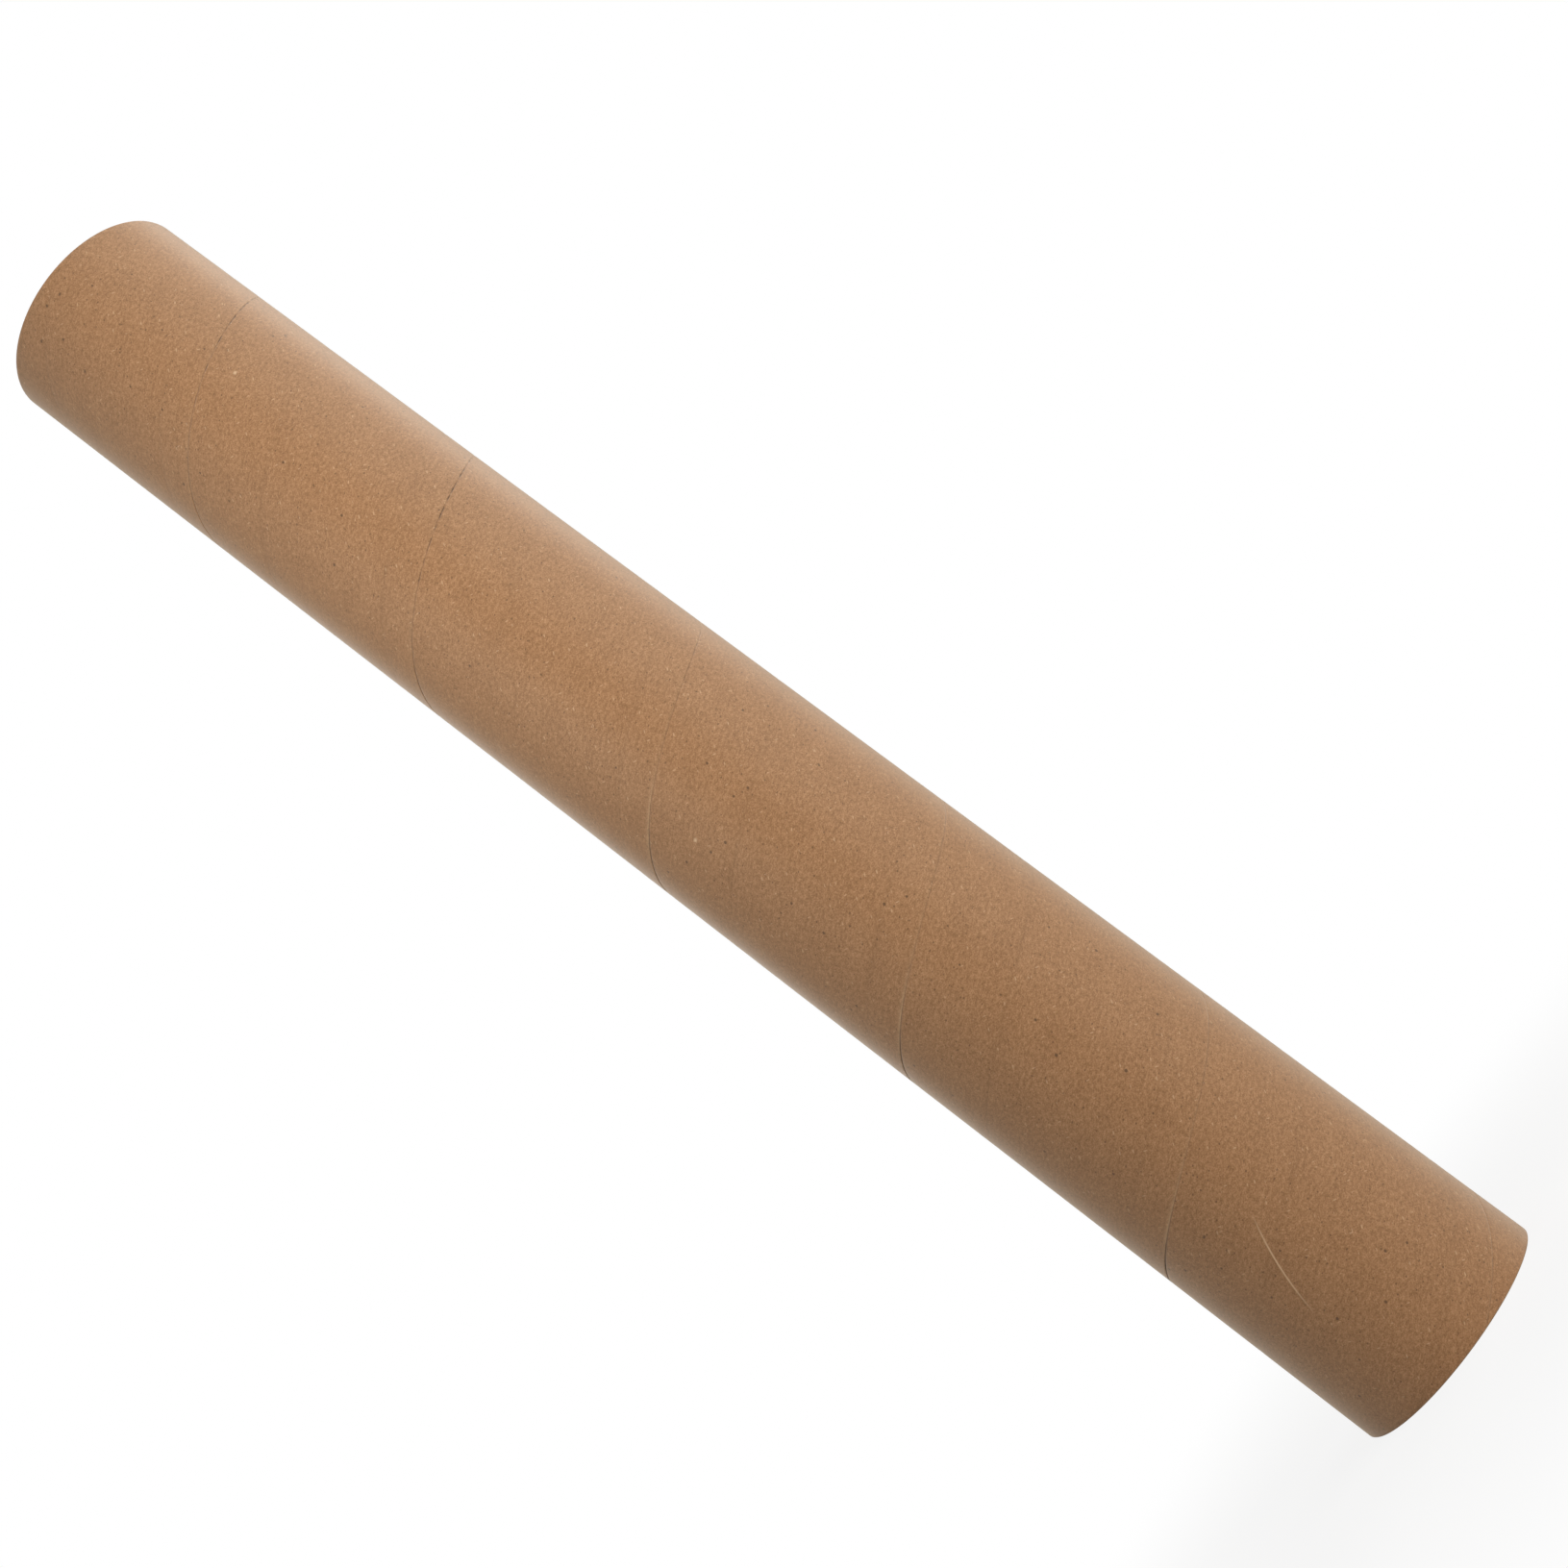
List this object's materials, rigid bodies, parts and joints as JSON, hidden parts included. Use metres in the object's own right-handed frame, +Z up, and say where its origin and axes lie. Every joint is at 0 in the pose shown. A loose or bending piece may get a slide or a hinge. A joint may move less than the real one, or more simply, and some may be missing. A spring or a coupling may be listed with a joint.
{
  "type": "shipping tube",
  "caption": "Round kraft paperboard shipping tube, spiral wound, cut square and open at both ends.",
  "frame": {"origin": "centre of the bottom end, on the surface that the tube stands on", "axes": "+Z up along the tube's axis, -Y towards the front, +X to the right seen from the front"},
  "size_m": [0.0554, 0.0554, 0.4],
  "materials": {
    "kraft_board": "uncoated brown kraft paper, matt"
  },
  "bodies": {
    "root": {"tube": "kraft_board"}
  },
  "joints": []
}
